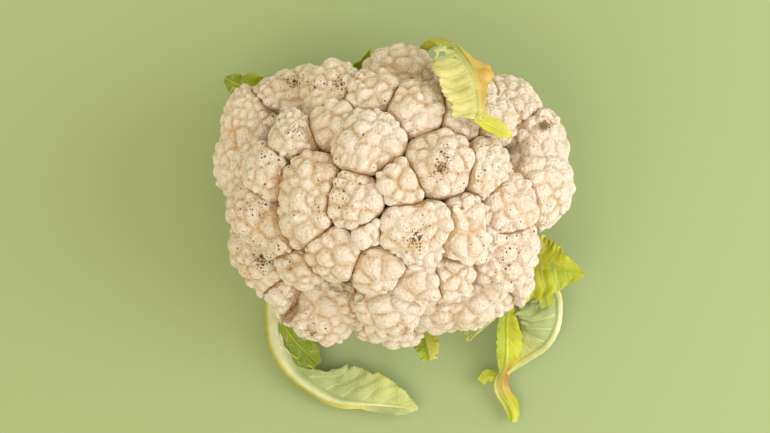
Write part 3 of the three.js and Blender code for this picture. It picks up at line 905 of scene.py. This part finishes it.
class Nodes:
    """A short way to wire up a material's nodes."""

    def __init__(self, name):
        self.material = bpy.data.materials.new(name)
        self.material.use_nodes = True
        self.tree = self.material.node_tree
        self.shader = self.tree.nodes["Principled BSDF"]

    def node(self, kind, **settings):
        made = self.tree.nodes.new(kind)
        for key, value in settings.items():
            setattr(made, key, value)
        return made

    def feed(self, socket, value):
        if isinstance(value, bpy.types.NodeSocket):
            self.tree.links.new(value, socket)
        elif isinstance(value, (tuple, list)) and len(value) == 3 and len(socket.default_value) == 4:
            socket.default_value = (*value, 1)
        else:
            socket.default_value = value

    def attribute(self, name):
        return self.node("ShaderNodeAttribute", attribute_name=name).outputs["Fac"]

    def place(self):
        return self.node("ShaderNodeTexCoord").outputs["Object"]

    def noise(self, scale, detail=3.0, roughness=0.5, stretch=None):
        made = self.node("ShaderNodeTexNoise")
        self.feed(made.inputs["Vector"], self.stretched(stretch))
        made.inputs["Scale"].default_value = scale
        made.inputs["Detail"].default_value = detail
        made.inputs["Roughness"].default_value = roughness
        return made.outputs["Fac"]

    def stretched(self, stretch):
        if stretch is None:
            return self.place()
        mapping = self.node("ShaderNodeMapping")
        self.feed(mapping.inputs["Vector"], self.place())
        mapping.inputs["Scale"].default_value = stretch
        return mapping.outputs["Vector"]

    def math(self, operation, a, b=0.0, clamp=False):
        made = self.node("ShaderNodeMath", operation=operation, use_clamp=clamp)
        self.feed(made.inputs[0], a)
        self.feed(made.inputs[1], b)
        return made.outputs[0]

    def ramp(self, value, low, high, to_low=0.0, to_high=1.0):
        made = self.node("ShaderNodeMapRange", interpolation_type="SMOOTHSTEP")
        self.feed(made.inputs["Value"], value)
        made.inputs["From Min"].default_value = low
        made.inputs["From Max"].default_value = high
        made.inputs["To Min"].default_value = to_low
        made.inputs["To Max"].default_value = to_high
        return made.outputs["Result"]

    def mix(self, share, a, b):
        made = self.node("ShaderNodeMix", data_type="RGBA")
        self.feed(made.inputs["Factor"], share)
        self.feed(made.inputs[6], a)
        self.feed(made.inputs[7], b)
        return made.outputs[2]

    def bump(self, height, distance, strength=1.0, below=None):
        made = self.node("ShaderNodeBump")
        made.inputs["Strength"].default_value = strength
        made.inputs["Distance"].default_value = distance
        self.feed(made.inputs["Height"], height)
        if below is not None:
            self.feed(made.inputs["Normal"], below)
        return made.outputs["Normal"]


def curd_material():
    n = Nodes("curd")
    cream = (0.75, 0.59, 0.455)
    ivory = (0.82, 0.705, 0.625)
    painted_seam_shade = (0.60, 0.36, 0.14)
    brown = (0.16, 0.075, 0.03)
    tan = (0.50, 0.31, 0.16)
    pale_green = (0.66, 0.66, 0.36)
    mottle = (0.66, 0.52, 0.42)
    painted_crease_shade = (0.60, 0.40, 0.22)
    painted_top_highlight = (0.85, 0.755, 0.695)
    painted_contact_shade = (0.60, 0.40, 0.20)
    stain = (0.60, 0.36, 0.12)
    speck_black = (0.085, 0.035, 0.012)
    colour = n.mix(n.ramp(n.noise(45, 3), 0.35, 0.65), cream, ivory)
    colour = n.mix(n.ramp(n.noise(330, 4), 0.45, 0.7, 0, 0.25), colour, mottle)
    crease = n.attribute("crease")
    # Painted shade: hollows are darkened towards a warm tan.
    colour = n.mix(n.ramp(crease, 0.1, 0.9, 0, 0.7), colour, painted_crease_shade)
    # Painted highlight: the tops of lobes are painted whiter.
    colour = n.mix(n.ramp(crease, -0.05, -0.6, 0, 0.75), colour, painted_top_highlight)
    # Painted shade: the seams between lobes get warm orange lines that stand in for light scattered into the
    # creases.
    seam = n.math("MULTIPLY", n.attribute("seam"), n.ramp(n.noise(70, 2), 0.5, 0.72, 0.0, 0.7))
    colour = n.mix(seam, colour, painted_seam_shade)
    # Painted shade: where florets touch, the faces are painted brown.
    colour = n.mix(n.math("MULTIPLY", n.attribute("hidden"), 0.65), colour, painted_contact_shade)
    colour = n.mix(n.math("MULTIPLY", n.attribute("stalk"), 0.8), colour, pale_green)

    # Ochre stains and brown patches are broken up into small bits.
    ragged = n.noise(1100, 5, 0.75)
    ochre = n.ramp(n.math("ADD", n.attribute("ochre"), n.math("MULTIPLY", ragged, 0.7)), 0.75, 1.0)
    colour = n.mix(n.math("MULTIPLY", ochre, 0.75), colour, stain)
    patch = n.math("ADD", n.attribute("brown"), n.math("MULTIPLY", ragged, 1.1))
    colour = n.mix(n.ramp(patch, 0.85, 1.2, 0, 0.6), colour, tan)
    dark = n.ramp(patch, 1.12, 1.3, 0, 0.85)
    colour = n.mix(dark, colour, brown)

    # Single dark specks: each small cell holds one where its own number is under the local share.
    for scale, dusting, crowding, smallest, growth in (
        (620, 0.010, 0.70, 0.12, 0.30),
        (1250, 0.030, 0.60, 0.16, 0.26),
    ):
        cells = n.node("ShaderNodeTexVoronoi")
        n.feed(cells.inputs["Vector"], n.place())
        cells.inputs["Scale"].default_value = scale
        parts = n.node("ShaderNodeSeparateColor")
        n.feed(parts.inputs["Color"], cells.outputs["Color"])
        share = n.math("MULTIPLY", n.attribute("specks"), crowding)
        share = n.math("ADD", share, n.math("MULTIPLY", n.ramp(n.noise(28, 2), 0.4, 0.65), dusting))
        chosen = n.math("LESS_THAN", parts.outputs["Red"], share)
        size = n.math("ADD", n.math("MULTIPLY", parts.outputs["Green"], growth), smallest)
        size = n.math("ADD", size, n.ramp(n.attribute("specks"), 0.5, 1.0, 0, 0.24))
        dot = n.ramp(n.math("SUBTRACT", size, cells.outputs["Distance"]), -0.05, 0.08)
        speck = n.math("MULTIPLY", n.math("MULTIPLY", dot, chosen), n.attribute("curd"))
        colour = n.mix(n.math("MULTIPLY", speck, 0.92), colour, speck_black)
        dark = n.math("MAXIMUM", dark, speck)

    n.feed(n.shader.inputs["Base Color"], colour)
    rough = n.ramp(n.noise(900, 2), 0.3, 0.7, 0.52, 0.72)
    n.feed(n.shader.inputs["Roughness"], rough)
    # Light doesn't sink into the dark marks.
    n.feed(n.shader.inputs["Subsurface Weight"], n.ramp(dark, 0, 1, 0.25, 0))
    n.shader.inputs["Subsurface Radius"].default_value = (1.0, 0.55, 0.30)
    n.shader.inputs["Subsurface Scale"].default_value = 0.0022
    n.shader.inputs["Specular IOR Level"].default_value = 0.35
    granules = n.node("ShaderNodeTexVoronoi", feature="SMOOTH_F1")
    n.feed(granules.inputs["Vector"], n.place())
    granules.inputs["Scale"].default_value = 640
    granules.inputs["Smoothness"].default_value = 0.25
    round_tops = n.math("SUBTRACT", 1.0, granules.outputs["Distance"])
    grain = n.bump(round_tops, 0.001, 0.8)
    grain = n.bump(n.noise(1500, 3, 0.6), 0.0002, 0.5, grain)
    n.feed(n.shader.inputs["Normal"], grain)
    return n.material


def leaf_material():
    n = Nodes("leaf")
    tint = n.node("ShaderNodeAttribute", attribute_name="tint").outputs["Color"]
    shade = n.node("ShaderNodeHueSaturation")
    shade.inputs["Saturation"].default_value = 1.1
    shade.inputs["Value"].default_value = 0.78
    n.feed(shade.inputs["Color"], tint)
    colour = n.mix(n.ramp(n.noise(95, 4, 0.6), 0.35, 0.68, 0, 0.8), tint, shade.outputs["Color"])
    off_rib = n.math("SUBTRACT", 1.0, n.attribute("rib"), True)

    pale = (0.72, 0.74, 0.38)
    fibre = (0.55, 0.56, 0.22)
    dry_brown = (0.34, 0.17, 0.035)

    # A net of fine veins between small cells.
    net = n.node("ShaderNodeTexVoronoi", feature="DISTANCE_TO_EDGE")
    n.feed(net.inputs["Vector"], n.place())
    net.inputs["Scale"].default_value = 620
    fine = n.ramp(net.outputs["Distance"], 0.02, 0.14, 1, 0)
    fine = n.math("MULTIPLY", fine, off_rib)
    colour = n.mix(n.math("MULTIPLY", fine, 0.12), colour, pale)
    colour = n.mix(n.math("MULTIPLY", n.attribute("vein"), 0.9), colour, pale)
    # Ribs have long faint streaks.
    streak = n.ramp(n.noise(260, 3, 0.6, (1, 1, 0.3)), 0.4, 0.7, 0, 0.25)
    colour = n.mix(n.math("MULTIPLY", streak, n.attribute("rib")), colour, fibre)
    # Dry margins are brown in places.
    dry = n.math("MULTIPLY", n.ramp(n.attribute("margin"), 0.9, 1.0), n.ramp(n.noise(70, 3), 0.52, 0.66))
    colour = n.mix(n.math("MULTIPLY", n.math("MULTIPLY", dry, off_rib), 0.7), colour, dry_brown)
    n.feed(n.shader.inputs["Base Color"], colour)
    n.feed(n.shader.inputs["Roughness"], n.ramp(n.noise(500, 2), 0.3, 0.7, 0.38, 0.58))
    n.shader.inputs["Subsurface Weight"].default_value = 0.3
    n.shader.inputs["Subsurface Radius"].default_value = (0.9, 1.0, 0.3)
    n.shader.inputs["Subsurface Scale"].default_value = 0.0015
    n.shader.inputs["Specular IOR Level"].default_value = 0.4
    relief = n.bump(n.noise(700, 3, 0.6), 0.0002, 0.5)
    relief = n.bump(n.math("SUBTRACT", 1.0, fine), 0.00025, 0.6, relief)
    n.feed(n.shader.inputs["Normal"], relief)
    return n.material


def stem_material(name, skin, scar):
    n = Nodes(name)
    pale = (0.80, 0.78, 0.52)
    cut_cream = (0.80, 0.74, 0.50)
    cut_brown = (0.62, 0.50, 0.28)
    wood = (0.50, 0.44, 0.18)
    fleck = (0.36, 0.26, 0.10)
    colour = n.mix(n.ramp(n.noise(60, 4, 0.6), 0.35, 0.65), skin, scar)
    fibre = n.ramp(n.noise(420, 3, 0.6, (1, 1, 0.22)), 0.42, 0.68, 0, 0.5)
    colour = n.mix(fibre, colour, pale)
    # The cut face is paler, with a ring of wood near its rim and browned patches.
    ring = n.math("SUBTRACT", n.attribute("outer"), 0.72)
    ring = n.ramp(n.math("ABSOLUTE", ring), 0.02, 0.09, 0.55, 0)
    face = n.mix(n.ramp(n.noise(140, 4, 0.6), 0.4, 0.7), cut_cream, cut_brown)
    face = n.mix(ring, face, wood)
    colour = n.mix(n.attribute("cut"), colour, face)
    colour = n.mix(n.ramp(n.noise(900, 3, 0.7), 0.62, 0.74, 0, 0.45), colour, fleck)
    n.feed(n.shader.inputs["Base Color"], colour)
    n.feed(n.shader.inputs["Roughness"], n.ramp(n.noise(300, 3), 0.3, 0.7, 0.42, 0.66))
    n.shader.inputs["Subsurface Weight"].default_value = 0.25
    n.shader.inputs["Subsurface Radius"].default_value = (1.0, 0.8, 0.4)
    n.shader.inputs["Subsurface Scale"].default_value = 0.002
    relief = n.bump(n.noise(420, 4, 0.6, (1, 1, 0.22)), 0.0004, 0.6)
    n.feed(n.shader.inputs["Normal"], relief)
    return n.material


def floor_material():
    n = Nodes("table")
    colour = n.mix(n.ramp(n.noise(2.5, 2), 0.3, 0.7), (0.378, 0.45, 0.228), (0.393, 0.465, 0.239))
    n.feed(n.shader.inputs["Base Color"], colour)
    n.shader.inputs["Roughness"].default_value = 0.9
    n.shader.inputs["Specular IOR Level"].default_value = 0.1
    return n.material


# ---- Making the pieces ----

curd = curd_material()
leaf_look = leaf_material()
stem_look = stem_material("stem", (0.60, 0.64, 0.34), (0.66, 0.62, 0.36))
base_look = stem_material("leaf_base", (0.58, 0.66, 0.36), (0.72, 0.74, 0.50))
tree_of_curd = curd_tree()
for number, name in enumerate(sorted(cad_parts)):
    if name.startswith("floret"):
        floret(name, SEED + number, curd)
    elif name in LEAVES:
        leaf(name, LEAVES[name], SEED + number, tree_of_curd, leaf_look)
    elif name == "stem":
        trunk(name, "stem", SEED + number, stem_look)
    else:
        trunk(name, "leaf_base", SEED + number, base_look)

# ---- Stage, light and camera ----

floor_mesh = bpy.data.meshes.new("table")
signs = ((-1, -1), (1, -1), (1, 1), (-1, 1))
corners = [(x * FLOOR_HALF, y * FLOOR_HALF, 0) for x, y in signs]
floor_mesh.from_pydata(corners, [], [(0, 1, 2, 3)])
floor_mesh.materials.append(floor_material())
floor = bpy.data.objects.new("table", floor_mesh)
floor.location.z = -FLOOR_DROP
scene.collection.objects.link(floor)


def soft_light(name, place, target, size, watts, colour):
    lamp = bpy.data.lights.new(name, "AREA")
    lamp.shape = "DISK"
    lamp.size = size
    lamp.energy = watts
    lamp.color = colour
    holder = bpy.data.objects.new(name, lamp)
    holder.location = place
    holder.rotation_euler = (Vector(target) - Vector(place)).to_track_quat("-Z", "Y").to_euler()
    scene.collection.objects.link(holder)


soft_light("window", (1.0, -0.02, 0.64), (0, 0, 0.05), 1.1, 9.6, (0.89, 0.95, 1.0))
soft_light("fill", (-0.5, -0.6, 1.2), (0, 0, 0.05), 1.2, 4.7, (1.0, 0.94, 0.80))

world = bpy.data.worlds.new("room")
scene.world = world
world.use_nodes = True
world.node_tree.nodes["Background"].inputs["Color"].default_value = (1.0, 0.935, 0.67, 1)
world.node_tree.nodes["Background"].inputs["Strength"].default_value = 0.84

camera_data = bpy.data.cameras.new("camera")
camera_data.lens = 70
camera_data.sensor_width = 36
camera = bpy.data.objects.new("camera", camera_data)
camera.location = EYE
camera.rotation_euler = (0, 0, 0)
scene.collection.objects.link(camera)
scene.camera = camera
scene.view_settings.view_transform = "Standard"
